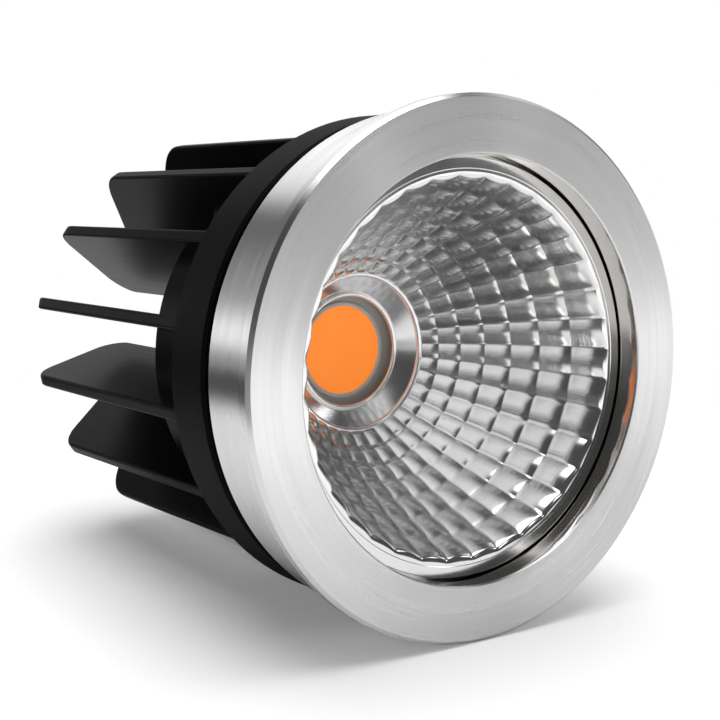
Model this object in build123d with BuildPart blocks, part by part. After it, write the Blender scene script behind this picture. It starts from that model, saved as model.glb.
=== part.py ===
from build123d import *
import os
from math import cos, radians, sin, sqrt, tan

# LED module for a round recessed lamp: a turned front ring, a faceted reflector,
# a chip-on-board light source in its holder, and a black finned heatsink.
# Sizes are in millimetres. The axis runs along +Y, and the origin is on it in the
# plane of the rim's back face, which seats on the fixture. The front face looks
# along -Y, and +Z is up as the module lies on its side. A turned profile is drawn
# with the radius along X and the place along the axis along Y.

# Front ring
rim_overhang = 1.05
rim_thickness = 1.5
rim_chamfer = 0.35
rim_back_chamfer = 0.15
skirt_wall = 1.95
skirt_chamfer = 0.3
ring_length = 8.5
mouth_chamfer = 0.15

# Reflector
flange_recess = 2.45
flange_gap = 0.2
flange_thickness = 1.0
flange_width = 1.51
reflector_wall = 0.8
bowl_mouth_radius = 17.86
bowl_focal_length = 3.6
bowl_end_radius = 8.02
facet_rows = 7
facet_columns = 36
facet_turn = 2.5
bead_radius = 0.13
neck_angle = 33.0
neck_hole_radius = 5.62
neck_land = 0.2
neck_outer_corner = 0.25
shell_points = 7

# Seal under the reflector's flange
seal_thickness = 0.3
seal_width = 0.8

# Light source
source_gap = 1.1
board_size = 13.5
board_thickness = 1.0
board_corner_radius = 0.4
light_radius = 4.57
light_layer = 0.2
dam_width = 0.45
dam_height = 0.3
chip_size = 0.9
chip_thickness = 0.12
chip_pitch = 1.7
chip_grid = 4
contact_pad_length = 1.5
contact_pad_width = 1.2
contact_pad_height = 0.05
contact_pad_offset = 7.9

# Thermal pad under the board
thermal_pad_thickness = 0.3
thermal_pad_margin = 0.25

# Holder that clamps the board
holder_radius = 14.2
holder_flat = 11.5
holder_height = 3.0
holder_edge_radius = 0.5
holder_aperture_radius = 6.45
holder_screw_offset = 11.5
board_clearance = 0.1
neck_seat_clearance = 0.05
wire_hole_radius = 0.65

# Contact springs in the holder
spring_thickness = 0.2
spring_width = 1.3
spring_length = 4.6
spring_rise = 0.7
spring_lip = 0.9
spring_pocket_clearance = 0.15

# Heatsink
spigot_step = 2.33
spigot_engagement = 1.5
spigot_clearance = 0.1
spigot_wall = 3.9
groove_width = 1.3
collar_step = 1.8
collar_thickness = 5.9
collar_chamfer = 0.3
holder_room = 2.3
bowl_room = 1.0
cavity_corner_radius = 0.6
drum_wall = 2.6
floor_thickness = 3.3

# Fins
fin_count = 16
fin_thickness = 1.3
fin_edge_radius = 0.3
fin_setback = 1.5
fin_inner_radius = 9.2
fin_length = 36.4
fin_back_slope = 22.4
fin_outer_corner_radius = 4.1
fin_inner_corner_radius = 2.5
fin_root_depth = 0.6

# Screws
ring_screw_angles = (135, 315)
ring_screw_inset = 1.6
ring_screw_length = 10.8
screw_shank_radius = 1.0
screw_head_radius = 1.9
screw_head_height = 1.3
screw_socket_width = 1.5
screw_socket_depth = 0.8
screw_hole_clearance = 0.1
screw_thread_clearance = 0.02
screw_head_clearance = 0.2
screw_hole_spare = 0.6
holder_screw_length = 4.0

# Cable inlet
cable_angle = 90
cable_offset = 13.9
cable_hole_radius = 1.6
grommet_fit = 0.02
grommet_flange_radius = 1.95
grommet_flange_thickness = 0.6
grommet_bore_radius = 1.0

# Places along the axis that follow from the sizes above
face = -rim_thickness
ring_back = face + ring_length
flange_front = face + flange_recess
flange_back = flange_front + flange_thickness
web_front = flange_back + seal_thickness
web_back = ring_back - spigot_engagement
collar_front = ring_back + groove_width
collar_back = collar_front + collar_thickness
fin_corner = collar_back + fin_length

# The bowl is a paraboloid, r squared = 4 f (vertex - y)
bowl_vertex = flange_front + bowl_mouth_radius**2 / (4 * bowl_focal_length)


def bowl_depth(radius):
    """Place along the axis of the bowl's inner surface at a radius."""
    return bowl_vertex - radius**2 / (4 * bowl_focal_length)


def bowl_outside(radius):
    """Point on the bowl's outer surface, one wall behind the inner one."""
    slope = radius / (2 * bowl_focal_length)
    step = reflector_wall / sqrt(1 + slope**2)
    return (radius + step * slope, bowl_depth(radius) + step)


# The neck is a cone from the end of the facets to the hole over the light source
neck_start = bowl_depth(bowl_end_radius)
neck_end = neck_start + (bowl_end_radius - neck_hole_radius) * tan(radians(neck_angle))
reflector_back = neck_end + neck_land
neck_wall_shift = reflector_wall / cos(radians(neck_angle))


def neck_outside(place):
    """Radius of the neck's outer cone at a place along the axis."""
    return neck_hole_radius + (neck_end + neck_wall_shift - place) / tan(radians(neck_angle))


# The front ring is sized outward from the bowl: flange, mouth, spigot, skirt, rim
web_radius = bowl_outside(bowl_mouth_radius)[0]
flange_radius = bowl_mouth_radius + flange_width
mouth_radius = flange_radius + flange_gap
spigot_radius = mouth_radius + spigot_step
skirt_radius = spigot_radius + spigot_clearance + skirt_wall
rim_radius = skirt_radius + rim_overhang

# The heatsink follows the spigot; its cavity clears both the holder and the bowl
front_bore_radius = spigot_radius - spigot_wall
ring_screw_circle = spigot_radius - ring_screw_inset
collar_radius = spigot_radius + collar_step
fin_outer_radius = collar_radius - fin_setback
bowl_behind_spigot = sqrt(4 * bowl_focal_length * (bowl_vertex - collar_front)) + reflector_wall
cavity_radius = max(holder_radius + holder_room, bowl_behind_spigot + bowl_room)
drum_radius = cavity_radius + drum_wall

# The board lies behind the neck, on the heatsink's floor
board_front = reflector_back + source_gap
light_front = board_front - light_layer
dam_front = board_front - dam_height
pad_front = board_front + board_thickness
floor_front = pad_front + thermal_pad_thickness
drum_back = floor_front + floor_thickness
holder_front = floor_front - holder_height


def across(place):
    """Plane square to the axis, its normal pointing to the rear."""
    return Plane(origin=(0, place, 0), x_dir=(1, 0, 0), z_dir=(0, 1, 0))


def along(angle):
    """Plane through the axis, its x direction outward at an angle from +X."""
    turn = radians(angle)
    return Plane(origin=(0, 0, 0), x_dir=(cos(turn), 0, sin(turn)), z_dir=(-sin(turn), 0, cos(turn)))


def on_circle(radius, angle):
    """Place on a plane made by across(), at a radius and an angle from +X."""
    turn = radians(angle)
    return (radius * cos(turn), -radius * sin(turn))


os.makedirs("parts", exist_ok=True)

# Front ring: turned in one piece, with a thin rim in front of a smaller skirt.
# Its inner web carries the reflector in front and takes the screws from behind.
with BuildPart() as front_ring:
    with BuildSketch(Plane.XY):
        with BuildLine():
            Polyline(
                (mouth_radius + mouth_chamfer, face),
                (rim_radius - rim_chamfer, face),
                (rim_radius, face + rim_chamfer),
                (rim_radius, -rim_back_chamfer),
                (rim_radius - rim_back_chamfer, 0),
                (skirt_radius, 0),
                (skirt_radius, ring_back - skirt_chamfer),
                (skirt_radius - skirt_chamfer, ring_back),
                (spigot_radius + spigot_clearance, ring_back),
                (spigot_radius + spigot_clearance, web_back),
                (web_radius, web_back),
                (web_radius, web_front),
                (mouth_radius, web_front),
                (mouth_radius, face + mouth_chamfer),
                close=True,
            )
        make_face()
    revolve(axis=Axis.Y)
    with BuildSketch(across(web_back)):
        with Locations(*[on_circle(ring_screw_circle, a) for a in ring_screw_angles]):
            Circle(screw_shank_radius + screw_thread_clearance)
    extrude(amount=-(web_back - web_front - screw_hole_spare), mode=Mode.SUBTRACT)
front_ring.part.label = "front_ring"
export_step(front_ring.part, "parts/front_ring.step")

# Reflector: moulded in one piece. The outside is a smooth shell; the inside is
# a stack of many-sided rings, which gives flat facets in rows and columns.
facet_step = (bowl_mouth_radius - bowl_end_radius) / facet_rows
facet_radii = [bowl_mouth_radius - i * facet_step for i in range(facet_rows + 1)]
shell_step = (bowl_mouth_radius - bowl_end_radius) / (shell_points - 1)
outside_points = [bowl_outside(bowl_mouth_radius - i * shell_step) for i in range(shell_points)]
neck_join = outside_points[-1][1] + neck_outer_corner
with BuildPart() as reflector:
    with BuildSketch(Plane.XY):
        with BuildLine():
            shell = Spline(*outside_points)
            Polyline(
                shell @ 1,
                (neck_outside(neck_join), neck_join),
                (neck_outside(reflector_back), reflector_back),
                (0, reflector_back),
                (0, shell.start_point().Y),
                shell @ 0,
            )
        make_face()
        with Locations((flange_radius / 2, flange_front + flange_thickness / 2)):
            Rectangle(flange_radius, flange_thickness)
    revolve(axis=Axis.Y)
    for radius in facet_radii:
        with BuildSketch(across(bowl_depth(radius))):
            RegularPolygon(radius, facet_columns, rotation=-facet_turn)
    loft(ruled=True, mode=Mode.SUBTRACT)
    with BuildSketch(Plane.XY):
        with BuildLine():
            Polyline(
                (0, neck_start - bead_radius),
                (bowl_end_radius - bead_radius, neck_start - bead_radius),
                (bowl_end_radius - bead_radius, neck_start),
                (neck_hole_radius, neck_end),
                (neck_hole_radius, reflector_back),
                (0, reflector_back),
                close=True,
            )
        make_face()
    revolve(axis=Axis.Y, mode=Mode.SUBTRACT)
    with BuildSketch(Plane.XY):
        with Locations((bowl_end_radius, neck_start)):
            Circle(bead_radius)
    revolve(axis=Axis.Y)
reflector.part.label = "reflector"
export_step(reflector.part, "parts/reflector.step")

# Flange seal: a flat silicone ring between the reflector and the front ring
with BuildPart() as flange_seal:
    with BuildSketch(across(flange_back)):
        Circle(flange_radius)
        Circle(flange_radius - seal_width, mode=Mode.SUBTRACT)
    extrude(amount=seal_thickness)
flange_seal.part.label = "flange_seal"
export_step(flange_seal.part, "parts/flange_seal.step")

# One fin: a flat plate with a rounded outline and rounded edges
fin_back_rise = (fin_outer_radius - fin_inner_radius) * tan(radians(fin_back_slope))
with BuildPart() as fin:
    with BuildSketch(along(0)):
        with BuildLine():
            Polyline(
                (fin_outer_radius, collar_back - fin_root_depth),
                (fin_outer_radius, fin_corner),
                (fin_inner_radius, fin_corner + fin_back_rise),
                (fin_inner_radius, drum_back - fin_root_depth),
                (drum_radius - fin_root_depth, drum_back - fin_root_depth),
                (drum_radius - fin_root_depth, collar_back - fin_root_depth),
                close=True,
            )
        make_face()
        fillet(vertices().sort_by(Axis.Y)[-2], fin_outer_corner_radius)
        fillet(vertices().sort_by(Axis.Y)[-1], fin_inner_corner_radius)
    extrude(amount=fin_thickness / 2, both=True)
    fillet(faces().filter_by(Axis.Z).edges(), fin_edge_radius)

# Heatsink: one casting with a spigot, a collar, a drum with a closed floor,
# and fins that stand on the drum and leave the centre behind it open
with BuildPart() as heatsink:
    with BuildSketch(Plane.XY):
        with BuildLine():
            Polyline(
                (front_bore_radius, web_back),
                (spigot_radius, web_back),
                (spigot_radius, collar_front),
                (collar_radius - collar_chamfer, collar_front),
                (collar_radius, collar_front + collar_chamfer),
                (collar_radius, collar_back - collar_chamfer),
                (collar_radius - collar_chamfer, collar_back),
                (drum_radius, collar_back),
                (drum_radius, drum_back),
                (0, drum_back),
                (0, floor_front),
                (cavity_radius, floor_front),
                (cavity_radius, collar_front),
                (front_bore_radius, collar_front),
                close=True,
            )
        make_face()
        cavity_corner = vertices().sort_by_distance((cavity_radius, floor_front, 0))[0]
        fillet(cavity_corner, cavity_corner_radius)
    revolve(axis=Axis.Y)
    with BuildSketch(across(drum_back)):
        with Locations(*[on_circle(ring_screw_circle, a) for a in ring_screw_angles]):
            Circle(screw_head_radius + screw_head_clearance)
    extrude(amount=-(drum_back - collar_back), mode=Mode.SUBTRACT)
    with BuildSketch(across(web_back)):
        with Locations(*[on_circle(ring_screw_circle, a) for a in ring_screw_angles]):
            Circle(screw_shank_radius + screw_hole_clearance)
    extrude(amount=collar_back - web_back, mode=Mode.SUBTRACT)
    with BuildSketch(across(floor_front)):
        with Locations(on_circle(cable_offset, cable_angle)):
            Circle(cable_hole_radius)
    extrude(amount=floor_thickness, mode=Mode.SUBTRACT)
    with BuildSketch(across(floor_front)):
        with Locations((holder_screw_offset, 0), (-holder_screw_offset, 0)):
            Circle(screw_shank_radius + screw_thread_clearance)
    extrude(amount=floor_thickness - screw_hole_spare, mode=Mode.SUBTRACT)
    with Locations(*[Location((0, 0, 0), (0, -(k + 0.5) * 360 / fin_count, 0)) for k in range(fin_count)]):
        add(fin.part)
heatsink.part.label = "heatsink"
export_step(heatsink.part, "parts/heatsink.step")


def screw(seat, shank_length, to_front):
    """Cheese-head screw on the axis, its head's seat at a place along it."""
    ahead = -1 if to_front else 1
    with BuildPart() as one:
        with BuildSketch(across(seat)):
            Circle(screw_shank_radius)
        extrude(amount=ahead * shank_length)
        with BuildSketch(across(seat)):
            Circle(screw_head_radius)
        extrude(amount=-ahead * screw_head_height)
        with BuildSketch(across(seat - ahead * screw_head_height)):
            RegularPolygon(screw_socket_width / 2, 6, major_radius=False)
        extrude(amount=ahead * screw_socket_depth, mode=Mode.SUBTRACT)
    return one.part


# Ring screws: driven from behind the collar into the front ring's web
ring_screw = screw(collar_back, ring_screw_length, to_front=True)
with BuildPart() as ring_screws:
    for angle in ring_screw_angles:
        x, z = ring_screw_circle * cos(radians(angle)), ring_screw_circle * sin(radians(angle))
        with Locations((x, 0, z)):
            add(ring_screw)
ring_screws.part.label = "ring_screws"
export_step(ring_screws.part, "parts/ring_screws.step")

# Thermal pad: a thin soft sheet between the board and the heatsink's floor
with BuildPart() as thermal_pad:
    with BuildSketch(across(pad_front)):
        Rectangle(board_size - 2 * thermal_pad_margin, board_size - 2 * thermal_pad_margin)
    extrude(amount=thermal_pad_thickness)
thermal_pad.part.label = "thermal_pad"
export_step(thermal_pad.part, "parts/thermal_pad.step")

# Board: the light source's square metal base
with BuildPart() as source_board:
    with BuildSketch(across(board_front)):
        RectangleRounded(board_size, board_size, board_corner_radius)
    extrude(amount=board_thickness)
source_board.part.label = "source_board"
export_step(source_board.part, "parts/source_board.step")

# Contact pads: one on each of two opposite corners of the board
for name, angle in (("contact_pad_plus", 45), ("contact_pad_minus", 225)):
    with BuildPart() as contact_pad:
        with BuildSketch(across(board_front)):
            with Locations(Location(on_circle(contact_pad_offset, angle), -angle)):
                Rectangle(contact_pad_length, contact_pad_width)
        extrude(amount=-contact_pad_height)
    contact_pad.part.label = name
    export_step(contact_pad.part, f"parts/{name}.step")

# Light-emitting chips: a square grid without its four corners
chip_reach = (chip_grid - 1) / 2
chip_places = [
    ((i - chip_reach) * chip_pitch, (j - chip_reach) * chip_pitch)
    for i in range(chip_grid)
    for j in range(chip_grid)
    if abs(i - chip_reach) + abs(j - chip_reach) < 2 * chip_reach
]
with BuildPart() as led_chips:
    with BuildSketch(across(board_front)):
        with Locations(*chip_places):
            Rectangle(chip_size, chip_size)
    extrude(amount=-chip_thickness)
led_chips.part.label = "led_chips"
export_step(led_chips.part, "parts/led_chips.step")

# Phosphor: the cast layer over the chips, level inside the dam
with BuildPart() as phosphor:
    with BuildSketch(across(board_front)):
        Circle(light_radius)
    extrude(amount=-light_layer)
    with BuildSketch(across(board_front)):
        with Locations(*chip_places):
            Rectangle(chip_size, chip_size)
    extrude(amount=-chip_thickness, mode=Mode.SUBTRACT)
phosphor.part.label = "phosphor"
export_step(phosphor.part, "parts/phosphor.step")

# Dam: the round-topped silicone ring that holds the phosphor in
with BuildPart() as source_dam:
    with BuildSketch(Plane.XY):
        with BuildLine():
            Polyline(
                (light_radius, light_front),
                (light_radius, board_front),
                (light_radius + dam_width, board_front),
                (light_radius + dam_width, light_front),
            )
            ThreePointArc(
                (light_radius + dam_width, light_front),
                (light_radius + dam_width / 2, dam_front),
                (light_radius, light_front),
            )
        make_face()
    revolve(axis=Axis.Y)
source_dam.part.label = "source_dam"
export_step(source_dam.part, "parts/source_dam.step")

# Holder: a moulded plate that clamps the board, carries the contact springs
# and centres the reflector's neck in its cone-shaped seat
holder_head_seat = holder_front + screw_head_height
seat_mouth = neck_outside(holder_front) + neck_seat_clearance
seat_end = neck_outside(reflector_back) + neck_seat_clearance
spring_plane_y = board_front - contact_pad_height
pocket_front = spring_plane_y - spring_rise - spring_thickness - spring_pocket_clearance
pocket_inner = contact_pad_offset - contact_pad_length / 2
pocket_outer = contact_pad_offset + spring_length + spring_pocket_clearance
pocket_width = spring_width + 2 * spring_pocket_clearance
wire_hole_offset = (pocket_outer - spring_width) * cos(radians(45))
wire_hole_depth = spring_plane_y - spring_rise + wire_hole_radius
with BuildPart() as board_holder:
    with BuildSketch(across(holder_front)):
        Circle(holder_radius)
        Rectangle(2 * holder_radius, 2 * holder_flat, mode=Mode.INTERSECT)
    extrude(amount=holder_height)
    front_edges = board_holder.faces().sort_by(Axis.Y)[0].edges()
    fillet(front_edges, holder_edge_radius)
    with BuildSketch(Plane.XY):
        with BuildLine():
            Polyline(
                (0, holder_front),
                (seat_mouth, holder_front),
                (seat_end, reflector_back),
                (holder_aperture_radius, reflector_back),
                (holder_aperture_radius, floor_front),
                (0, floor_front),
                close=True,
            )
        make_face()
    revolve(axis=Axis.Y, mode=Mode.SUBTRACT)
    with BuildSketch(across(board_front)):
        Rectangle(board_size + 2 * board_clearance, board_size + 2 * board_clearance)
    extrude(amount=floor_front - board_front, mode=Mode.SUBTRACT)
    for angle in (45, 225):
        with BuildSketch(across(pocket_front)):
            with Locations(Location(on_circle((pocket_inner + pocket_outer) / 2, angle), -angle)):
                Rectangle(pocket_outer - pocket_inner, pocket_width)
        extrude(amount=floor_front - pocket_front, mode=Mode.SUBTRACT)
    with BuildSketch(across(holder_front)):
        with Locations((holder_screw_offset, 0), (-holder_screw_offset, 0)):
            Circle(screw_head_radius + screw_head_clearance)
    extrude(amount=screw_head_height, mode=Mode.SUBTRACT)
    with BuildSketch(across(holder_front)):
        with Locations((holder_screw_offset, 0), (-holder_screw_offset, 0)):
            Circle(screw_shank_radius + screw_hole_clearance)
    extrude(amount=holder_height, mode=Mode.SUBTRACT)
    for side in (1, -1):
        wire_side = Plane(origin=(0, 0, side * holder_flat), x_dir=(1, 0, 0), z_dir=(0, 0, side))
        with BuildSketch(wire_side):
            with Locations((side * wire_hole_offset, -side * wire_hole_depth)):
                Circle(wire_hole_radius)
        extrude(amount=-(holder_flat - wire_hole_offset), mode=Mode.SUBTRACT)
board_holder.part.label = "board_holder"
export_step(board_holder.part, "parts/board_holder.step")

# Holder screws: driven from the front into the heatsink's floor
holder_screw = screw(holder_head_seat, holder_screw_length, to_front=False)
with BuildPart() as holder_screws:
    with Locations((holder_screw_offset, 0, 0), (-holder_screw_offset, 0, 0)):
        add(holder_screw)
holder_screws.part.label = "holder_screws"
export_step(holder_screws.part, "parts/holder_screws.step")

# Contact springs: a bent strip each, one end on its pad, the other in the wire port
for name, angle in (("contact_spring_plus", 45), ("contact_spring_minus", 225)):
    with BuildPart() as contact_spring:
        with BuildSketch(along(angle)):
            with BuildLine():
                low = spring_plane_y
                high = spring_plane_y - spring_rise
                start = contact_pad_offset - spring_lip / 2
                bend = contact_pad_offset + spring_lip
                end = contact_pad_offset + spring_length
                Polyline(
                    (start, low),
                    (start + spring_lip, low),
                    (bend + spring_rise, high),
                    (end, high),
                    (end, high - spring_thickness),
                    (bend + spring_rise - spring_thickness / 2, high - spring_thickness),
                    (start + spring_lip - spring_thickness / 2, low - spring_thickness),
                    (start, low - spring_thickness),
                    close=True,
                )
            make_face()
        extrude(amount=spring_width / 2, both=True)
    contact_spring.part.label = name
    export_step(contact_spring.part, f"parts/{name}.step")

# Grommet: a soft bush that lines the cable hole in the heatsink's floor
with BuildPart() as cable_grommet:
    with BuildSketch(across(floor_front - grommet_flange_thickness)):
        with Locations(on_circle(cable_offset, cable_angle)):
            Circle(grommet_flange_radius)
    extrude(amount=grommet_flange_thickness)
    with BuildSketch(across(floor_front)):
        with Locations(on_circle(cable_offset, cable_angle)):
            Circle(cable_hole_radius - grommet_fit)
    extrude(amount=floor_thickness)
    with BuildSketch(across(drum_back)):
        with Locations(on_circle(cable_offset, cable_angle)):
            Circle(grommet_flange_radius)
    extrude(amount=grommet_flange_thickness)
    with BuildSketch(across(floor_front - grommet_flange_thickness)):
        with Locations(on_circle(cable_offset, cable_angle)):
            Circle(grommet_bore_radius)
    extrude(amount=floor_thickness + 2 * grommet_flange_thickness, mode=Mode.SUBTRACT)
cable_grommet.part.label = "cable_grommet"
export_step(cable_grommet.part, "parts/cable_grommet.step")
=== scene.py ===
"""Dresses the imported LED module: turned ring, faceted reflector, light source, black heatsink.

The script builds fine meshes for the pieces that show most, gives every piece its finish,
and sets up a small white studio with the camera at the photograph's viewing angle.
Sizes are in millimetres and become metres where a mesh is made.
"""

import logging
import math
import random
from dataclasses import dataclass, field
from enum import Enum
from typing import Callable, Iterable, Protocol, Sequence

import bpy
from mathutils import Matrix, Vector


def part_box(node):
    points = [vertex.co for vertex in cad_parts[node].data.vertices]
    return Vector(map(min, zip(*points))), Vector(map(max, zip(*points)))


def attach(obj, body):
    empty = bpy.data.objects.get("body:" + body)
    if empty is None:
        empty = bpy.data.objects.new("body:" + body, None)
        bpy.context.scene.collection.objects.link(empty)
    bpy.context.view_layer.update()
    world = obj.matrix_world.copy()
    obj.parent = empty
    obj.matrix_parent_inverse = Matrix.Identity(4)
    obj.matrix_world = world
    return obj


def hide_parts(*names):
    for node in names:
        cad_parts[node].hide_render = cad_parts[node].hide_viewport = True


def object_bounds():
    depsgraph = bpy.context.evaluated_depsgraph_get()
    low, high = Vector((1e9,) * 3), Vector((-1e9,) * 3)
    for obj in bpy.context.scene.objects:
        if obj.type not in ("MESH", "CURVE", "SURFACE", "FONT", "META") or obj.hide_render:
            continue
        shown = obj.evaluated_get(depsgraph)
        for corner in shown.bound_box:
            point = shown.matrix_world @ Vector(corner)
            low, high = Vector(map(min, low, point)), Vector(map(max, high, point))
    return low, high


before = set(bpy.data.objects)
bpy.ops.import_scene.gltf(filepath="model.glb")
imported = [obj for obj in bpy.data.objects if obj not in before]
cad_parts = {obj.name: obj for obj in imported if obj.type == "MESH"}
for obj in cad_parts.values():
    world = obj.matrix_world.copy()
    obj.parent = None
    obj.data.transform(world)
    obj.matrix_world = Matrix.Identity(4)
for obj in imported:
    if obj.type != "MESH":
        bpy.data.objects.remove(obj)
CAD_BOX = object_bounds()
MM = 0.001
BODY = "root"

# How a screen's colour values turn into light.
FULL = 255.0
SCREEN_KNEE, SCREEN_TOE = 0.04045, 12.92
SCREEN_OFFSET, SCREEN_POWER = 0.055, 2.4

# Where most values of a noise texture lie.
TEXTURE_ENDS = (0.2, 0.8)

log = logging.getLogger("led_module")

Point = tuple[float, float]
Outline = list[Point]
RingShape = Callable[[float], Point]
Triple = tuple[float, float, float]
Colour = tuple[float, float, float, float]
Socket = bpy.types.NodeSocket

WHITE: Colour = (1.0, 1.0, 1.0, 1.0)


def light_of(value: float) -> float:
    """Turn one channel of a colour on a screen into the value that light is reckoned in.

    Args:
        value: The channel, from 0 to 255.

    Returns:
        The light's value, from 0 to 1.
    """
    share = value / FULL
    if share <= SCREEN_KNEE:
        return share / SCREEN_TOE
    return ((share + SCREEN_OFFSET) / (1 + SCREEN_OFFSET)) ** SCREEN_POWER


def linear(red: float, green: float, blue: float) -> Colour:
    """Return the colour for a shader's socket from red, green and blue on a screen, 0 to 255."""
    return (light_of(red), light_of(green), light_of(blue), 1.0)


class Blend(Enum):
    """What a mix node blends: its data type, the numbers of its two inputs and its output."""

    DIRECTION = ("VECTOR", 4, 5, 1)
    COLOUR = ("RGBA", 6, 7, 2)


class Nodes:
    """A node tree, with short calls that add nodes and join them."""

    def __init__(self, tree: bpy.types.NodeTree) -> None:
        """Keep the tree that the calls work on."""
        self.tree = tree

    def add(
        self, kind: str, inputs: dict[str | int, object] | None = None, **settings: object
    ) -> bpy.types.Node:
        """Add a node.

        Args:
            kind: The node's type name, without its prefix.
            inputs: Values or output sockets for the node's inputs, by name or number.
            settings: The node's own properties.

        Returns:
            The new node.
        """
        node = self.tree.nodes.new("ShaderNode" + kind)
        for key, value in settings.items():
            setattr(node, key, value)
        for key, value in (inputs or {}).items():
            self.feed(node.inputs[key], value)
        return node

    def feed(self, socket: Socket, value: object) -> None:
        """Give an input socket a value, or join an output socket to it.

        Args:
            socket: The input.
            value: A number, a colour, a vector or an output socket.
        """
        if isinstance(value, bpy.types.NodeSocket):
            self.tree.links.new(value, socket)
        else:
            socket.default_value = value

    def maths(self, operation: str, *values: object) -> Socket:
        """Return the output of a calculation on up to three values or sockets."""
        return self.add("Math", dict(enumerate(values)), operation=operation).outputs[0]

    def between(
        self, value: object, low: float, high: float, start: float = 0.0, end: float = 1.0
    ) -> Socket:
        """Ease a value from start to end while another goes from low to high.

        Args:
            value: The socket that drives the change.
            low: Where the change starts.
            high: Where the change ends.
            start: The result below low.
            end: The result above high.

        Returns:
            The eased value's socket.
        """
        node = self.add(
            "MapRange",
            {"Value": value, "From Min": low, "From Max": high, "To Min": start, "To Max": end},
            interpolation_type="SMOOTHSTEP",
        )
        return node.outputs["Result"]

    def mix(self, blend: Blend, share: object, low: object, high: object) -> Socket:
        """Blend two colours or two directions.

        Args:
            blend: What is blended.
            share: The share of the second one, from 0 to 1.
            low: The first one.
            high: The second one.

        Returns:
            The blend's socket.
        """
        data_type, first, second, result = blend.value
        node = self.add("Mix", {"Factor": share, first: low, second: high}, data_type=data_type)
        return node.outputs[result]


class Shader(Nodes):
    """One material's node tree, with its surface shader at hand."""

    def __init__(self, name: str) -> None:
        """Make a new material with a plain surface shader.

        Args:
            name: The material's name.
        """
        self.material = bpy.data.materials.new(name)
        self.material.use_nodes = True
        super().__init__(self.material.node_tree)
        self.surface = self.tree.nodes["Principled BSDF"]

    def dress(self, **inputs: object) -> None:
        """Set the surface shader's inputs, named with underscores for spaces."""
        for key, value in inputs.items():
            self.feed(self.surface.inputs[key.replace("_", " ")], value)

    def place(self) -> Socket:
        """Return the place on the piece, in metres."""
        return self.add("TexCoord").outputs["Object"]

    def turned_place(self, along: float, across: float) -> Socket:
        """Give a place whose features run round the axis, as a lathe leaves them.

        Args:
            along: Features a metre along the radius and the axis.
            across: Features round one turn, roughly.

        Returns:
            The place's socket, for a noise texture.
        """
        x, y, z = self.add("SeparateXYZ", {0: self.place()}).outputs
        squares = (self.maths("MULTIPLY", side, side) for side in (x, z))
        radius = self.maths("SQRT", self.maths("ADD", *squares))
        lengthwise = self.maths("MULTIPLY", self.maths("ADD", radius, y), along)
        turn_x, turn_z = (
            self.maths("MULTIPLY", self.maths("DIVIDE", side, radius), across) for side in (x, z)
        )
        return self.add("CombineXYZ", {0: lengthwise, 1: turn_x, 2: turn_z}).outputs[0]

    def noise(self, place: Socket, detail: float = 2.0, roughness: float = 0.5) -> Socket:
        """Return a noise texture's value at a place."""
        inputs = {"Vector": place, "Scale": 1.0, "Detail": detail, "Roughness": roughness}
        return self.add("TexNoise", inputs).outputs["Fac"]

    def stretched(self, scales: Triple, detail: float = 2.0, roughness: float = 0.5) -> Socket:
        """Return a noise texture with its own number of features a metre in each direction."""
        place = self.add("Mapping", {"Vector": self.place(), "Scale": scales}).outputs[0]
        return self.noise(place, detail, roughness)

    def even(self, scale: float, detail: float = 2.0, roughness: float = 0.5) -> Socket:
        """Return a noise texture with as many features a metre in all directions."""
        return self.stretched((scale, scale, scale), detail, roughness)

    def bump(self, height: Socket, depth: float) -> Socket:
        """Return the surface direction of a relief from 0 to 1, as deep as given in millimetres."""
        relief = {"Height": height, "Distance": depth * MM, "Strength": 1.0}
        return self.add("Bump", relief).outputs[0]

    def stray(
        self, texture: Socket, middle: float, down: float, up: float, ends: Point = TEXTURE_ENDS
    ) -> Socket:
        """Return a number that strays down and up from its middle between a texture's ends."""
        return self.between(texture, *ends, middle - down, middle + up)

    def tint(self, texture: Socket, colour: Triple, darker: float, lighter: float) -> Socket:
        """Let a colour stray with a texture.

        Args:
            texture: The socket that drives the change.
            colour: Red, green and blue, from 0 to 255.
            darker: How far all three fall.
            lighter: How far all three rise.

        Returns:
            The colour's socket.
        """
        low = linear(*(channel - darker for channel in colour))
        high = linear(*(channel + lighter for channel in colour))
        return self.mix(Blend.COLOUR, texture, low, high)


class Finish(Protocol):
    """Any finish that can be made into a material."""

    def build(self, name: str) -> bpy.types.Material:
        """Return the finish's material under a name."""


@dataclass(frozen=True)
class TurnedMetal:
    """Aluminium as the lathe leaves it, with fine rings and a stretched shine."""

    grey: float = 224.0
    darker: float = 8.0
    lighter: float = 4.0
    roughness: float = 0.29
    unevenness: float = 0.03
    stretch: float = 0.95
    stretch_turn: float = 0.25
    fine_rings: Point = (4500.0, 0.6)
    broad_rings: Point = (900.0, 1.2)
    clouds: float = 120.0
    cloud_share: float = 0.3

    def build(self, name: str) -> bpy.types.Material:
        """Make the material.

        Args:
            name: The material's name.

        Returns:
            The material.
        """
        shader = Shader(name)
        fine = shader.noise(shader.turned_place(*self.fine_rings), detail=1.0)
        broad = shader.noise(shader.turned_place(*self.broad_rings))
        cloud = shader.even(self.clouds, detail=3.0)
        shade = shader.maths("MULTIPLY_ADD", cloud, self.cloud_share, fine)
        shader.dress(
            Base_Color=shader.tint(shade, (self.grey,) * 3, self.darker, self.lighter),
            Metallic=1.0,
            Roughness=shader.stray(broad, self.roughness, self.unevenness, self.unevenness),
            Anisotropic=self.stretch,
            Anisotropic_Rotation=self.stretch_turn,
            Tangent=shader.add("Tangent", direction_type="RADIAL", axis="Y").outputs[0],
        )
        return shader.material


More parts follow.
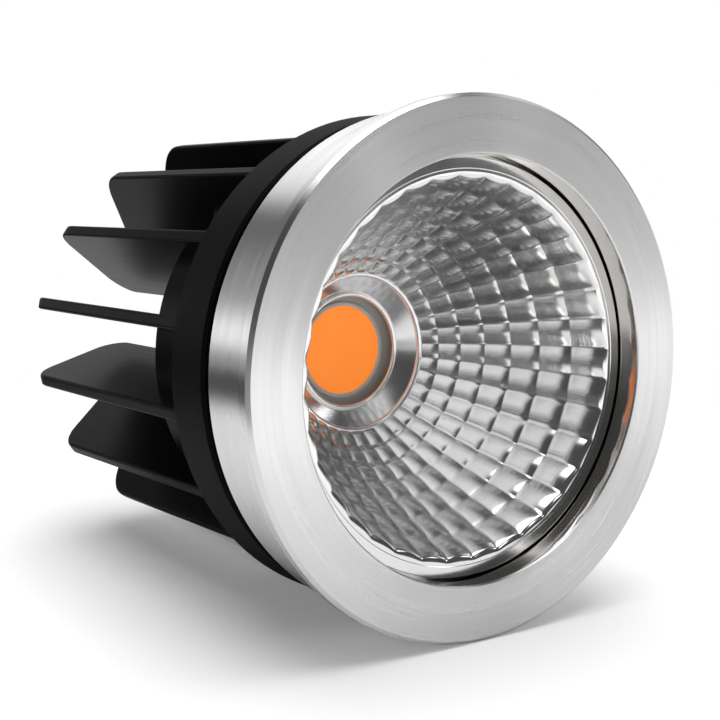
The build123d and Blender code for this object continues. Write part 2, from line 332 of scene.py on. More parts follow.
@dataclass(frozen=True)
class PolishedMetal:
    """Metal cut with a finishing tool: nearly a mirror, with faint rings."""

    colour: Triple = (205.0, 202.0, 198.0)
    roughness: float = 0.09
    smoother: float = 0.02
    rougher: float = 0.03
    rings: Point = (5000.0, 1.0)
    ring_depth: float = 0.0006

    def build(self, name: str) -> bpy.types.Material:
        """Make the material.

        Args:
            name: The material's name.

        Returns:
            The material.
        """
        shader = Shader(name)
        fine = shader.noise(shader.turned_place(*self.rings))
        shader.dress(
            Base_Color=linear(*self.colour),
            Metallic=1.0,
            Roughness=shader.stray(fine, self.roughness, self.smoother, self.rougher),
            Normal=shader.bump(fine, self.ring_depth),
        )
        return shader.material


@dataclass(frozen=True)
class Metallised:
    """Bright metal film on a moulded shell, faintly rippled and a little uneven in its shine."""

    grey: float = 236.0
    darker: float = 8.0
    roughness: float = 0.15
    smoother: float = 0.02
    rougher: float = 0.03
    metallic: float = 1.0
    ripples: float = 700.0
    ripple_depth: float = 0.0008
    clouds: float = 150.0
    cloud_ends: Point = (0.3, 0.7)

    def build(self, name: str) -> bpy.types.Material:
        """Make the material.

        Args:
            name: The material's name.

        Returns:
            The material.
        """
        shader = Shader(name)
        ripple = shader.even(self.ripples)
        film = shader.even(self.clouds, detail=3.0)
        ends = self.cloud_ends
        shader.dress(
            Base_Color=shader.tint(film, (self.grey,) * 3, self.darker, 0.0),
            Metallic=self.metallic,
            Roughness=shader.stray(film, self.roughness, self.smoother, self.rougher, ends),
            Normal=shader.bump(ripple, self.ripple_depth),
        )
        return shader.material


@dataclass(frozen=True)
class BlackCasting:
    """Black anodised aluminium: speckled on the collar, with long fine streaks on the fins."""

    grey: float = 11.0
    darker: float = 3.0
    lighter: float = 9.0
    collar_roughness: float = 0.42
    fin_roughness: float = 0.28
    shine: float = 0.025
    speckles: float = 3200.0
    speckle_depth: float = 0.03
    streaks: Triple = (1500.0, 60.0, 1500.0)
    streak_depth: float = 0.02
    fins_start: float = 14.6
    fins_blend: float = 0.4

    def build(self, name: str) -> bpy.types.Material:
        """Make the material.

        Args:
            name: The material's name.

        Returns:
            The material.
        """
        shader = Shader(name)
        speckle = shader.even(self.speckles, detail=3.0, roughness=0.7)
        streak = shader.stretched(self.streaks, detail=3.0)
        along = shader.add("SeparateXYZ", {0: shader.place()}).outputs["Y"]
        start, end = self.fins_start * MM, (self.fins_start + self.fins_blend) * MM
        on_fins = shader.between(along, start, end)
        grain = shader.bump(speckle, self.speckle_depth)
        lines = shader.bump(streak, self.streak_depth)
        collar, fins = self.collar_roughness, self.fin_roughness
        shader.dress(
            Base_Color=shader.tint(speckle, (self.grey,) * 3, self.darker, self.lighter),
            Roughness=shader.between(on_fins, 0.0, 1.0, collar, fins),
            Specular_IOR_Level=self.shine,
            Normal=shader.mix(Blend.DIRECTION, on_fins, grain, lines),
        )
        return shader.material


@dataclass(frozen=True)
class Silicone:
    """Cast silicone: smooth, slightly soft in its shine, with a faint cloud of filler."""

    colour: Triple
    painted_glow: float = 0.0
    green_drift: float = 3.0
    blue_drift: float = 4.0
    roughness: float = 0.35
    unevenness: float = 0.05
    softness: float = 0.15
    soft_depth: float = 0.2
    grains: float = 2600.0
    grain_depth: float = 0.003
    clouds: float = 260.0

    def build(self, name: str) -> bpy.types.Material:
        """Make the material.

        Args:
            name: The material's name.

        Returns:
            The material.
        """
        shader = Shader(name)
        grain = shader.even(self.grains)
        cloud = shader.even(self.clouds)
        red, green, blue = self.colour
        warm = linear(red, green - self.green_drift, blue - self.blue_drift)
        cool = linear(red, green + self.green_drift, blue + self.blue_drift)
        shader.dress(
            Base_Color=shader.mix(Blend.COLOUR, cloud, warm, cool),
            Roughness=shader.stray(grain, self.roughness, self.unevenness, self.unevenness),
            Subsurface_Weight=self.softness,
            Subsurface_Scale=self.soft_depth * MM,
            Normal=shader.bump(grain, self.grain_depth),
        )
        # painted glow: emission brightens a part that gives no light of its own
        if self.painted_glow:
            shader.dress(Emission_Color=linear(*self.colour), Emission_Strength=self.painted_glow)
        return shader.material


@dataclass(frozen=True)
class Moulded:
    """Moulded plastic or rubber with a fine eroded texture."""

    colour: Triple
    darker: float = 4.0
    lighter: float = 3.0
    roughness: float = 0.5
    unevenness: float = 0.06
    grains: float = 1500.0
    grain_depth: float = 0.006

    def build(self, name: str) -> bpy.types.Material:
        """Make the material.

        Args:
            name: The material's name.

        Returns:
            The material.
        """
        shader = Shader(name)
        texture = shader.even(self.grains, detail=3.0)
        shader.dress(
            Base_Color=shader.tint(texture, self.colour, self.darker, self.lighter),
            Roughness=shader.stray(texture, self.roughness, self.unevenness, self.unevenness),
            Normal=shader.bump(texture, self.grain_depth),
        )
        return shader.material


@dataclass(frozen=True)
class Plated:
    """Rolled or plated metal with fine rolling lines."""

    colour: Triple
    darker: float = 8.0
    lighter: float = 4.0
    roughness: float = 0.25
    smoother: float = 0.04
    rougher: float = 0.06
    lines: Triple = (2500.0, 90.0, 90.0)
    line_depth: float = 0.001

    def build(self, name: str) -> bpy.types.Material:
        """Make the material.

        Args:
            name: The material's name.

        Returns:
            The material.
        """
        shader = Shader(name)
        rolled = shader.stretched(self.lines)
        shader.dress(
            Base_Color=shader.tint(rolled, self.colour, self.darker, self.lighter),
            Metallic=1.0,
            Roughness=shader.stray(rolled, self.roughness, self.smoother, self.rougher),
            Normal=shader.bump(rolled, self.line_depth),
        )
        return shader.material


class Slot(Enum):
    """The record's material slots."""

    ALUMINIUM = "turned_aluminium"
    METALLISED = "metallised"
    SEAL = "silicone_clear"
    BLACK = "black_anodised"
    STEEL = "screw_steel"
    SHEET = "thermal_sheet"
    BOARD = "board_metal"
    GOLD = "contact_gold"
    CHIP = "chip_blue"
    PHOSPHOR = "phosphor"
    DAM = "dam_white"
    HOLDER = "holder_plastic"
    SPRING = "spring_bronze"
    GROMMET = "grommet_rubber"


Dressing = tuple[tuple[str, Slot], ...]

FINISHES: dict[Slot, Finish] = {
    Slot.ALUMINIUM: TurnedMetal(),
    Slot.METALLISED: Metallised(),
    Slot.SEAL: Silicone((205, 205, 200)),
    Slot.BLACK: BlackCasting(),
    Slot.STEEL: Plated((74, 74, 76), roughness=0.35),
    Slot.SHEET: Moulded((96, 99, 104), roughness=0.7),
    Slot.BOARD: Moulded((196, 196, 192), roughness=0.45),
    Slot.GOLD: Plated((214, 178, 96), roughness=0.2),
    Slot.CHIP: Plated((110, 120, 150), roughness=0.15),
    # The phosphor gets a painted glow: emission that brightens it, though the source is not lit.
    Slot.PHOSPHOR: Silicone((255, 138, 38), painted_glow=0.58),
    Slot.DAM: Silicone((212, 214, 212)),
    Slot.HOLDER: Moulded((222, 222, 217)),
    Slot.SPRING: Plated((190, 150, 100)),
    Slot.GROMMET: Moulded((32, 32, 33), roughness=0.6),
}


def finish_of(slot: Slot) -> bpy.types.Material:
    """Return a slot's material, made at its first use."""
    name = "finish." + slot.value
    return bpy.data.materials.get(name) or FINISHES[slot].build(name)


def new_piece(
    name: str, points: Iterable[Sequence[float]], faces: Iterable[Sequence[int]]
) -> bpy.types.Object:
    """Make a smooth mesh object from points in millimetres.

    Args:
        name: The piece's name.
        points: The points' places.
        faces: The faces, as numbers of points.

    Returns:
        The new object.
    """
    mesh = bpy.data.meshes.new(name)
    mesh.from_pydata([tuple(c * MM for c in p) for p in points], [], [tuple(f) for f in faces])
    mesh.validate()
    mesh.polygons.foreach_set("use_smooth", [True] * len(mesh.polygons))
    piece = bpy.data.objects.new(name, mesh)
    bpy.context.scene.collection.objects.link(piece)
    return piece


def settle(piece: bpy.types.Object, slot: Slot, *nodes: str) -> None:
    """Put a piece on the body, name its slot and let it stand for its nodes.

    Args:
        piece: The finished piece.
        slot: The record's material slot.
        nodes: The nodes that it replaces.
    """
    if not piece.data.materials:
        piece.data.materials.append(finish_of(slot))
    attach(piece, BODY)
    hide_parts(*nodes)
    log.info("%s: %d faces, stands for %s", piece.name, len(piece.data.polygons), ", ".join(nodes))


def dress_node(node: str, slot: Slot) -> None:
    """Give a carried-over node its finish.

    Args:
        node: The node's name.
        slot: The record's material slot.
    """
    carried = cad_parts[node]
    material = finish_of(slot)
    if carried.material_slots:
        for place in carried.material_slots:
            place.material = material
    else:
        carried.data.materials.append(material)
    log.info("%s: dressed as %s", node, slot.value)


def arc_steps(corner: Point, before: Point, after: Point, radius: float, steps: int) -> Outline:
    """Round one corner of an outline.

    Args:
        corner: The sharp corner.
        before: The point before it.
        after: The point after it.
        radius: The rounding's radius.
        steps: How many runs replace the corner.

    Returns:
        The points along the rounding.
    """
    here = Vector(corner)
    back = (Vector(before) - here).normalized()
    ahead = (Vector(after) - here).normalized()
    half = back.angle(ahead) / 2
    reach = radius / math.tan(half)
    centre = here + (back + ahead).normalized() * (radius / math.sin(half))
    start, end = here + back * reach - centre, here + ahead * reach - centre
    turn = start.angle_signed(end)
    points = []
    for k in range(steps + 1):
        angle = -turn * k / steps
        c, s = math.cos(angle), math.sin(angle)
        points.append((centre.x + start.x * c - start.y * s, centre.y + start.x * s + start.y * c))
    return points


def rounded_outline(corners: Sequence[Triple], steps: int = 5, guard: float = 0.03) -> Outline:
    """Round the corners of a closed outline and guard its straight runs.

    Args:
        corners: Each corner's radius from the axis, place along it, and rounding.
        steps: Runs in a rounding.
        guard: How far from a rounding an extra point keeps the straight run's shine flat.

    Returns:
        The outline's points.
    """
    count = len(corners)
    bends = []
    for k, (r, y, rounding) in enumerate(corners):
        before, after = corners[k - 1][:2], corners[(k + 1) % count][:2]
        if rounding:
            bends.append(arc_steps((r, y), before, after, rounding, steps))
        else:
            bends.append([(r, y)])
    outline = []
    for k, bend in enumerate(bends):
        outline += bend
        start, end = Vector(bend[-1]), Vector(bends[(k + 1) % count][0])
        run = end - start
        if run.length > 3 * guard:
            outline.append(tuple(start + run.normalized() * guard))
            outline.append(tuple(end - run.normalized() * guard))
    return outline


def ring_mesh(
    rings: Sequence[RingShape], segments: int, closed: bool = True
) -> tuple[list[Triple], list[tuple[int, ...]]]:
    """Join a chain of rings round the axis with four-sided faces.

    Args:
        rings: For each ring, its radius and place along the axis at an angle in degrees.
        segments: How many faces go round.
        closed: Whether the last ring joins the first; if not, flat faces fill both ends.

    Returns:
        The points and the faces.
    """
    points, faces = [], []
    for ring in rings:
        for k in range(segments):
            degrees = 360 * k / segments
            r, y = ring(degrees)
            turn = math.radians(degrees)
            points.append((r * math.cos(turn), y, r * math.sin(turn)))
    count = len(rings)
    for i in range(count if closed else count - 1):
        here, there = i * segments, (i + 1) % count * segments
        for k in range(segments):
            n = (k + 1) % segments
            faces.append((here + k, here + n, there + n, there + k))
    if not closed:
        last = (count - 1) * segments
        faces.append(tuple(range(last, last + segments)))
        faces.append(tuple(reversed(range(segments))))
    return points, faces


def fixed_ring(point: Point) -> RingShape:
    """Return a ring that is the same all the way round."""
    return lambda degrees: point


def lathe(
    name: str, outline: Outline, segments: int, sharp: float = 30.0, closed: bool = True
) -> bpy.types.Object:
    """Turn an outline round the axis.

    Args:
        name: The piece's name.
        outline: Points of radius and place along the axis, in order round the section.
        segments: How many faces go round.
        sharp: The angle in degrees above which an edge stays crisp.
        closed: Whether the outline's last point joins its first.

    Returns:
        The turned piece.
    """
    points, faces = ring_mesh([fixed_ring(point) for point in outline], segments, closed)
    piece = new_piece(name, points, faces)
    piece.data.set_sharp_from_angle(angle=math.radians(sharp))
    return piece


@dataclass
class FrontRing:
    """The turned aluminium ring: rim, skirt, polished bore and the web behind the flange."""

    skirt_radius: float = 23.95
    rim_thickness: float = 1.5
    front_chamfer: float = 0.35
    back_chamfer: float = 0.15
    skirt_chamfer: float = 0.3
    mouth_chamfer: float = 0.15
    mouth_gap: float = 0.2
    spigot_radius: float = 22.0
    web_radius: float = 18.6
    spigot_depth: float = 1.5
    break_edge: float = 0.05
    bore_margin: float = 0.05
    bore_start: float = 0.1
    segments: int = 384

    def section(self) -> Outline:
        """Work out the ring's section from the frame's boxes.

        Returns:
            The section's outline.
        """
        low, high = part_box("front_ring")
        rim, face, back = high.x / MM, low.y / MM, high.y / MM
        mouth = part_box("reflector")[1].x / MM + self.mouth_gap
        web_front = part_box("flange_seal")[1].y / MM
        web_back = back - self.spigot_depth
        shoulder = face + self.rim_thickness
        edge = self.break_edge
        corners = [
            (mouth + self.mouth_chamfer, face, edge),
            (rim - self.front_chamfer, face, edge),
            (rim, face + self.front_chamfer, edge),
            (rim, shoulder - self.back_chamfer, edge),
            (rim - self.back_chamfer, shoulder, edge),
            (self.skirt_radius, shoulder, 0.0),
            (self.skirt_radius, back - self.skirt_chamfer, edge),
            (self.skirt_radius - self.skirt_chamfer, back, edge),
            (self.spigot_radius, back, edge),
            (self.spigot_radius, web_back, 0.0),
            (self.web_radius, web_back, edge),
            (self.web_radius, web_front, edge),
            (mouth, web_front, 0.0),
            (mouth, face + self.mouth_chamfer, edge),
        ]
        return rounded_outline(corners)

    def build(self) -> None:
        """Make the ring, with its bore in a brighter finish."""
        piece = lathe("turned_front_ring", self.section(), self.segments)
        mesh = piece.data
        mesh.materials.append(finish_of(Slot.ALUMINIUM))
        mesh.materials.append(PolishedMetal().build("polished_bore"))
        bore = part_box("reflector")[1].x + (self.mouth_gap + self.bore_margin) * MM
        start = CAD_BOX[0].y + self.bore_start * MM
        for face in mesh.polygons:
            centre = face.center
            inside = math.hypot(centre.x, centre.z) < bore and centre.y > start
            face.material_index = int(inside)
        settle(piece, Slot.ALUMINIUM, "front_ring")


@dataclass
class Reflector:
    """The moulded reflector: flange, pillow facets, bead, plain cone neck and smooth back."""

    # The bowl and its facets.
    focal_length: float = 3.6
    mouth_radius: float = 17.86
    mouth_chamfer: float = 0.045
    end_radius: float = 8.02
    rows: int = 7
    columns: int = 36
    turn: float = 2.5
    steps: int = 12
    swell_across: float = 0.06
    swell_along: float = 0.05
    fullness: float = 2.0
    unevenness: float = 0.05
    seed: int = 7
    # The flange, and the ledge between its face and the mouth.
    flange_thickness: float = 1.0
    flange_edge: float = 0.05
    ledge_radius: float = 18.32
    ledge_slope: float = 0.05
    ledge_drop: float = 0.04
    ledge_edges: Point = (0.03, 0.02)
    ledge_end: float = 0.18
    # The bead, the plain cone and the neck's lip.
    bead: float = 0.3
    bead_sweep: float = 180.0
    neck_angle: float = 33.0
    cone_shares: Triple = (0.02, 0.5, 0.98)
    hole_radius: float = 5.62
    neck_lip: float = 0.25
    lip_sweep: float = 160.0
    sweep_start: float = -20.0
    sweep_steps: int = 8
    # The smooth back.
    wall: float = 0.8
    shell_steps: int = 24
    shell_end: float = 0.05
    neck_join: float = 0.25
    neck_edges: Point = (0.02, 0.03)
    root_fillet: tuple[Point, Point] = ((0.15, 0.02), (0.28, 0.0))
    # The bead and the lip: a paler, less metallic copy of the film, a painted highlight.
    highlight_grey: float = 254.0
    edge_roughness: float = 0.18
    highlight_metallic: float = 0.8
    edge_margin: float = 0.01
    crisp_angle: float = 60.0
    front: float = field(default_factory=lambda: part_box("reflector")[0].y / MM)

    def depth(self, radius: float) -> float:
        """Return the place along the axis of the bowl's surface at a radius."""
        return self.front + (self.mouth_radius**2 - radius**2) / (4 * self.focal_length)

    def neck_depth(self) -> float:
        """Return the place along the axis where the cone's line meets the hole."""
        drop = (self.end_radius - self.hole_radius) * math.tan(math.radians(self.neck_angle))
        return self.depth(self.end_radius) + drop

    def bead_centre(self) -> Point:
        """Return the middle of the bead, where the facets end."""
        return (self.end_radius, self.depth(self.end_radius))

    def lip_centre(self) -> Point:
        """Return the middle of the neck's rounded lip."""
        return (self.hole_radius + self.neck_lip, self.neck_depth())

    def flange(self) -> Outline:
        """Shape the flange's edge, its flat face and the ledge round the mouth.

        Returns:
            The points from the flange's rear to the ledge's inner end.
        """
        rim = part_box("reflector")[1].x / MM
        rear, ledge = self.front + self.flange_thickness, self.front + self.ledge_drop
        face_edge, ledge_edge = self.ledge_edges
        last = (self.mouth_radius + self.ledge_end, ledge)
        corners = [
            (rim, rear, self.flange_edge),
            (rim, self.front, self.flange_edge),
            (self.ledge_radius + self.ledge_slope, self.front, face_edge),
            (self.ledge_radius, ledge, ledge_edge),
            (*last, 0.0),
            (last[0], rear, 0.0),
        ]
        outline = rounded_outline(corners, steps=4, guard=0.02)
        return outline[: outline.index(last) + 1]

    def facet_row(self, row: int, step: int, swell: Sequence[float]) -> RingShape:
        """Make one ring of the bowl, bulging towards the axis in every facet.

        Args:
            row: The facet row, counted from the mouth.
            step: The step within the row, from 0 at its front edge.
            swell: How full each of the row's facets is, about 1.

        Returns:
            The ring's shape.
        """
        drop = (self.mouth_radius - self.end_radius) / self.rows
        front, back = self.mouth_radius - row * drop, self.mouth_radius - (row + 1) * drop
        rise = self.depth(back) - self.depth(front)
        v = 2 * step / self.steps - 1
        share = (1 + v) / 2
        if row == 0:
            share = self.mouth_chamfer + (1 - self.mouth_chamfer) * share
        radius = front + (back - front) * share
        place = self.depth(front) + rise * share
        slope = radius / (2 * self.focal_length)
        inward, forward = slope / math.hypot(slope, 1), 1 / math.hypot(slope, 1)
        half_angle = 180 / self.columns
        width = 2 * radius * math.tan(math.radians(half_angle))
        along = self.swell_along * math.hypot(front - back, rise) * (1 - abs(v) ** self.fullness)

        def ring(degrees: float) -> Point:
            """Find the ring's point at an angle.

            Args:
                degrees: The angle round the axis.

            Returns:
                The point's radius and its place along the axis.
            """
            turned = degrees - self.turn
            column = math.floor(turned / (2 * half_angle)) % self.columns
            offset = turned % (2 * half_angle) - half_angle
            u = offset / half_angle
            flat = radius * math.cos(math.radians(half_angle)) / math.cos(math.radians(offset))
            across = self.swell_across * width * (1 - abs(u) ** self.fullness)
            bulge = (across + along) * swell[column]
            return (flat - bulge * inward, place - bulge * forward)

        return ring

    def bent_edge(self, centre: Point, radius: float, sweep: float) -> Outline:
        """Bend an edge round its middle.

        Args:
            centre: The middle's radius from the axis and place along it.
            radius: The edge's own radius.
            sweep: How far the edge goes round, in degrees.

        Returns:
            The points round the edge.
        """
        turns = [
            math.radians(self.sweep_start - sweep * k / self.sweep_steps)
            for k in range(self.sweep_steps + 1)
        ]
        return [(centre[0] + radius * math.cos(a), centre[1] + radius * math.sin(a)) for a in turns]

    def neck(self) -> Outline:
        """Shape the bead, the plain cone and the neck's lip.

        Returns:
            The points from the last facets to the hole.
        """
        bead = self.bent_edge(self.bead_centre(), self.bead, self.bead_sweep)
        lip = self.bent_edge(self.lip_centre(), self.neck_lip, self.lip_sweep)
        run = Vector(lip[0]) - Vector(bead[-1])
        cone = [tuple(Vector(bead[-1]) + run * share) for share in self.cone_shares]
        return [*bead, *cone, *lip]

    def shell(self) -> Outline:
        """Follow the bowl behind it, at the wall's distance.

        Returns:
            The points from the neck to the mouth.
        """
        points = []
        for k in range(self.shell_steps + 1):
            radius = self.end_radius + (self.mouth_radius - self.end_radius) * k / self.shell_steps
            tilt = radius / (2 * self.focal_length)
            away = self.wall / math.hypot(1, tilt)
            points.append((radius + away * tilt, self.depth(radius) + away))
        return points

    def back(self) -> Outline:
        """Shape the outside of the neck and the smooth shell behind the bowl.

        Returns:
            The points from the hole to the flange's rear.
        """
        slope = math.radians(self.neck_angle)
        outer = self.neck_depth() + self.wall / math.cos(slope)
        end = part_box("reflector")[1].y / MM
        shell = self.shell()
        join = shell[0][1] + self.neck_join
        narrow, wide = (self.hole_radius + (outer - y) / math.tan(slope) for y in (end, join))
        edge, guard = self.neck_edges
        tail = [
            (self.hole_radius, end - edge),
            (self.hole_radius + edge, end),
            (narrow - guard, end),
            (narrow, end - edge),
            (wide, join),
        ]
        rear = self.front + self.flange_thickness
        shell = [point for point in shell if point[1] > rear + self.shell_end]
        fillet = [(shell[-1][0] + out, rear + behind) for out, behind in self.root_fillet]
        return [*tail, *shell, *fillet]

    def rings(self) -> list[RingShape]:
        """Line up all rings, from the flange through the bowl and the neck to the back.

        Returns:
            The rings' shapes, in order round the section.
        """
        rng = random.Random(self.seed)
        swell = [
            [1 + rng.uniform(-1, 1) * self.unevenness for _ in range(self.columns)]
            for _ in range(self.rows)
        ]
        bowl = [
            self.facet_row(row, step, swell[row])
            for row in range(self.rows)
            for step in range(self.steps + (row == self.rows - 1))
        ]
        rest = [*self.neck(), *self.back()]
        return [*map(fixed_ring, self.flange()), *bowl, *map(fixed_ring, rest)]

    def build(self) -> None:
        """Make the reflector, with a painted highlight: a paler film on the bead and the lip."""
        points, faces = ring_mesh(self.rings(), self.columns * self.steps)
        piece = new_piece("faceted_reflector", points, faces)
        mesh = piece.data
        mesh.set_sharp_from_angle(angle=math.radians(self.crisp_angle))
        mesh.materials.append(finish_of(Slot.METALLISED))
        grey, roughness, metallic = self.highlight_grey, self.edge_roughness, self.highlight_metallic
        # painted highlight: a paler, less metallic copy of the film on the bead and the lip
        soft = Metallised(grey, roughness=roughness, metallic=metallic)
        mesh.materials.append(soft.build("painted_highlight_edges"))
        edges = ((self.bead_centre(), self.bead), (self.lip_centre(), self.neck_lip))
        for face in mesh.polygons:
            centre = face.center / MM
            place = (math.hypot(centre.x, centre.z), centre.y)
            on_edge = any(
                math.dist(place, middle) < radius + self.edge_margin for middle, radius in edges
            )
            face.material_index = int(on_edge)
        settle(piece, Slot.METALLISED, "reflector")


@dataclass
class LightSource:
    """The chip-on-board source: board, pads, chips, and the phosphor inside its dam."""

    light_radius: float = 4.57
    dip: float = 0.035
    dip_power: int = 4
    dip_steps: int = 12
    light_crisp_angle: float = 40.0
    dam_width: float = 0.45
    dam_shoulder: float = 0.6
    dam_steps: int = 16
    dam_crisp_angle: float = 50.0
    segments: int = 192
    dressing: Dressing = (
        ("source_board", Slot.BOARD),
        ("contact_pad_plus", Slot.GOLD),
        ("contact_pad_minus", Slot.GOLD),
        ("led_chips", Slot.CHIP),
    )

    def pour_phosphor(self) -> None:
        """Make the phosphor, whose surface dips towards the middle."""
        low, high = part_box("phosphor")
        outline = [(self.light_radius, high.y / MM)]
        for k in range(self.dip_steps, 0, -1):
            share = k / self.dip_steps
            fall = self.dip * (1 - share**self.dip_power)
            outline.append((self.light_radius * share, low.y / MM + fall))
        piece = lathe(
            "phosphor_layer", outline, self.segments, self.light_crisp_angle, closed=False
        )
        settle(piece, Slot.PHOSPHOR, "phosphor")

    def lay_dam(self) -> None:
        """Make the dam, a low round bead on a straight foot."""
        low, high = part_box("source_dam")
        foot, height = high.y / MM, (high.y - low.y) / MM
        half = self.dam_width / 2
        middle = self.light_radius + half
        outline = [(self.light_radius + self.dam_width, foot)]
        for k in range(self.dam_steps + 1):
            turn = math.pi * k / self.dam_steps
            rise = self.dam_shoulder + (1 - self.dam_shoulder) * math.sin(turn)
            outline.append((middle + half * math.cos(turn), foot - height * rise))
        outline.append((self.light_radius, foot))
        piece = lathe("silicone_dam", outline, self.segments, self.dam_crisp_angle)
        settle(piece, Slot.DAM, "source_dam")

    def build(self) -> None:
        """Make the phosphor and the dam, and dress the rest."""
        self.pour_phosphor()
        self.lay_dam()
        for node, slot in self.dressing:
            dress_node(node, slot)


@dataclass
class Heatsink:
    """The black casting with the pieces inside and behind it."""

    dressing: Dressing = (
        ("heatsink", Slot.BLACK),
        ("ring_screws", Slot.STEEL),
        ("holder_screws", Slot.STEEL),
        ("thermal_pad", Slot.SHEET),
        ("board_holder", Slot.HOLDER),
        ("contact_spring_plus", Slot.SPRING),
        ("contact_spring_minus", Slot.SPRING),
        ("cable_grommet", Slot.GROMMET),
        ("flange_seal", Slot.SEAL),
    )

    def build(self) -> None:
        """Dress the casting and everything that it carries."""
        for node, slot in self.dressing:
            dress_node(node, slot)


@dataclass(frozen=True)
class Panel:
    """A far soft-edged panel of the room, lit or dark; towards +Y is azimuth 0, towards +X 90."""

    azimuth: float
    elevation: float
    half_width: float
    half_height: float
    level: float
    softness: float

    def cover(self, nodes: Nodes, ray: Socket, behind: Socket) -> Socket:
        """Stand the panel in front of the room's light.

        Args:
            nodes: The world's node tree.
            ray: The ray's direction.
            behind: The light from what stands behind the panel.

        Returns:
            The light's socket.
        """
        a, e = math.radians(self.azimuth), math.radians(self.elevation)
        ahead = (math.sin(a) * math.cos(e), math.cos(a) * math.cos(e), math.sin(e))
        side = (math.cos(a), -math.sin(a), 0.0)
        up = (-math.sin(a) * math.sin(e), -math.cos(a) * math.sin(e), math.cos(e))
        across, above, towards = (
            nodes.add("VectorMath", {0: ray, 1: axis}, operation="DOT_PRODUCT").outputs["Value"]
            for axis in (side, up, ahead)
        )
        sideways = nodes.maths("DEGREES", nodes.maths("ARCTAN2", across, towards))
        upwards = nodes.maths("DEGREES", nodes.maths("ARCSINE", above))
        soft = self.softness
        shares = (
            nodes.between(nodes.maths("ABSOLUTE", angle), half - soft, half + soft, 1.0, 0.0)
            for angle, half in ((sideways, self.half_width), (upwards, self.half_height))
        )
        change = nodes.maths("SUBTRACT", self.level, behind)
        return nodes.maths("MULTIPLY_ADD", nodes.maths("MULTIPLY", *shares), change, behind)


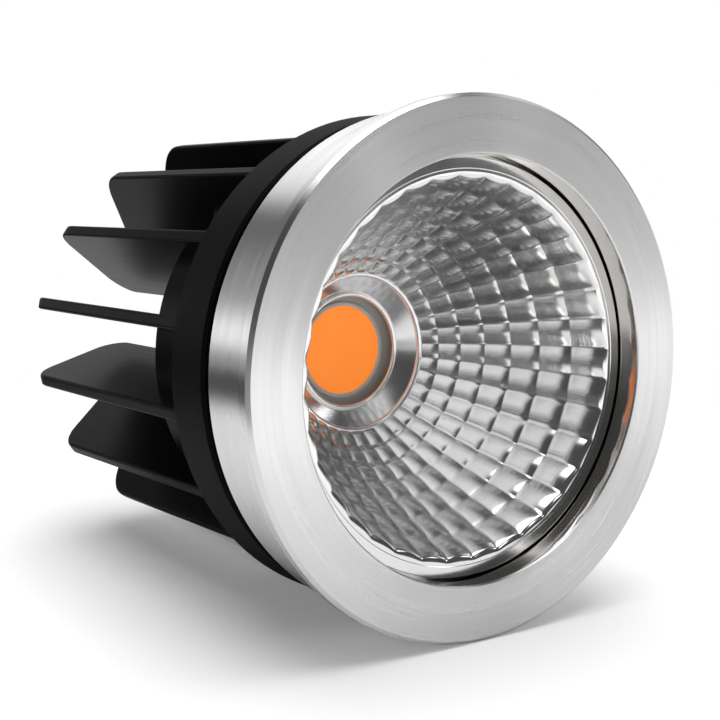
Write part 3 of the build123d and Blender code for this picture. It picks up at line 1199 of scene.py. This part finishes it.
@dataclass
class Studio:
    """The white floor, the room whose walls and panels give the light, and the camera."""

    # The camera, in metres and directions.
    eye: Triple = (-0.08230, -0.09843, 0.01607)
    forward: Triple = (0.5676, 0.8178, -0.0946)
    right: Triple = (0.8212, -0.5707, -0.0064)
    lens: float = 70.50
    sensor: float = 36.0
    shift: Point = (0.0161, -0.0444)
    clip: Point = (0.005, 20.0)
    # The floor, in metres; it is clear where the fade has ended.
    floor_size: float = 1.2
    floor_sides: int = 96
    floor_colour: float = 0.92
    floor_roughness: float = 0.9
    floor_shine: float = 0.1
    floor_lift: float = 0.2
    floor_fade: Point = (0.08, 0.13)
    fins_behind: float = 0.02
    # The room: its walls' light by height in degrees, and the panels, each in front of the last.
    walls: tuple[Point, ...] = (
        (-90.0, 1.3),
        (90.0, 3.8),
        (-4.0, 1.3),
        (-1.0, 0.07),
        (56.0, 0.07),
        (66.0, 3.6),
    )
    panels: tuple[Panel, ...] = (
        Panel(-20.0, -10.0, 85.0, 7.0, 0.04, 1.2),
        Panel(-20.0, 7.0, 85.0, 4.5, 1.5, 1.2),
        Panel(-20.0, 21.0, 70.0, 3.0, 0.85, 2.0),
        Panel(38.0, 42.0, 38.0, 15.0, 1.0, 3.0),
        Panel(-114.0, -8.0, 24.0, 16.0, 0.12, 4.0),
        Panel(163.0, 34.0, 4.0, 5.0, 4.0, 1.5),
        Panel(116.0, 34.0, 4.0, 5.0, 3.5, 1.5),
    )

    def camera(self) -> None:
        """Stand the camera at the photograph's viewing angle."""
        data = bpy.data.cameras.new("camera")
        data.lens, data.sensor_width = self.lens, self.sensor
        data.shift_x, data.shift_y = self.shift
        data.clip_start, data.clip_end = self.clip
        camera = bpy.data.objects.new("camera", data)
        bpy.context.scene.collection.objects.link(camera)
        back = -Vector(self.forward).normalized()
        side = Vector(self.right).normalized()
        turned = Matrix((side, back.cross(side), back)).transposed().to_4x4()
        turned.translation = Vector(self.eye)
        camera.matrix_world = turned
        bpy.context.scene.camera = camera

    def world(self) -> None:
        """Fill the room: plain white to the camera, the walls and panels to everything else."""
        world = bpy.data.worlds.new("studio")
        bpy.context.scene.world = world
        world.use_nodes = True
        world.node_tree.nodes.clear()
        nodes = Nodes(world.node_tree)
        ray = nodes.add("TexCoord").outputs["Generated"]
        level = self.wall_level(nodes, ray)
        for panel in self.panels:
            level = panel.cover(nodes, ray, level)
        room = nodes.add("Background", {"Color": level}).outputs[0]
        white = nodes.add("Background", {"Color": WHITE}).outputs[0]
        seen = nodes.add("LightPath").outputs["Is Camera Ray"]
        mixed = nodes.add("MixShader", {0: seen, 1: room, 2: white}).outputs[0]
        nodes.add("OutputWorld", {0: mixed})

    def wall_level(self, nodes: Nodes, ray: Socket) -> Socket:
        """Light the walls by height, in soft bands from the floor to the ceiling.

        Args:
            nodes: The world's node tree.
            ray: The ray's direction.

        Returns:
            The light's socket.
        """
        bottom, top = -90.0, 90.0
        height = nodes.add("SeparateXYZ", {0: ray}).outputs["Z"]
        elevation = nodes.maths("DEGREES", nodes.maths("ARCSINE", height))
        span = nodes.add("MapRange", {"Value": elevation, "From Min": bottom, "From Max": top})
        ramp = nodes.add("ValToRGB", {"Fac": span.outputs["Result"]})
        elements = ramp.color_ramp.elements
        for number, (degrees, light) in enumerate(self.walls):
            place = (degrees - bottom) / (top - bottom)
            element = elements[number] if number < 2 else elements.new(place)
            element.position, element.color = place, (light, light, light, 1)
        return ramp.outputs["Color"]

    def floor(self) -> None:
        """Lay the floor under the rim and the two lowest fins."""
        low = CAD_BOX[0]
        front = low.y + FrontRing.front_chamfer * MM
        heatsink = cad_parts["heatsink"].data
        behind = (v.co for v in heatsink.vertices if v.co.y > front + self.fins_behind)
        rise = min((v.z - low.z) / (v.y - front) for v in behind)
        points = []
        for k in range(self.floor_sides):
            turn = math.tau * k / self.floor_sides
            x, y = self.floor_size * math.cos(turn), self.floor_size * math.sin(turn)
            points.append((x / MM, y / MM, (low.z + rise * (y - front)) / MM))
        floor = new_piece("studio_floor", points, [tuple(range(self.floor_sides))])
        floor.data.materials.append(self.floor_finish())

    def floor_finish(self) -> bpy.types.Material:
        """Make the floor's paint, lifted a little to the camera and clear far from the object.

        Returns:
            The material.
        """
        shader = Shader("white_floor")
        away = shader.add("VectorMath", {0: shader.place()}, operation="LENGTH").outputs["Value"]
        fade = shader.between(away, *self.floor_fade)
        shader.dress(
            Base_Color=(self.floor_colour,) * 3 + (1.0,),
            Roughness=self.floor_roughness,
            Specular_IOR_Level=self.floor_shine,
        )
        clear = shader.add("BsdfTransparent").outputs[0]
        seen = shader.add("LightPath").outputs["Is Camera Ray"]
        lifted = shader.maths("MULTIPLY", seen, self.floor_lift)
        lift = shader.add("Emission", {"Color": WHITE, "Strength": lifted}).outputs[0]
        both = shader.add("AddShader", {0: shader.surface.outputs[0], 1: lift}).outputs[0]
        mixed = shader.add("MixShader", {0: fade, 1: both, 2: clear}).outputs[0]
        shader.feed(shader.tree.nodes["Material Output"].inputs["Surface"], mixed)
        return shader.material

    def build(self) -> None:
        """Set up the whole studio."""
        bpy.context.scene.view_settings.view_transform = "Standard"
        self.camera()
        self.world()
        self.floor()


def main() -> None:
    """Build every piece in order, then the studio."""
    logging.basicConfig(level=logging.INFO, format="%(name)s: %(message)s")
    for part in (FrontRing(), Reflector(), LightSource(), Heatsink(), Studio()):
        log.info("building %s", type(part).__name__)
        part.build()


if __name__ == "__main__":
    main()
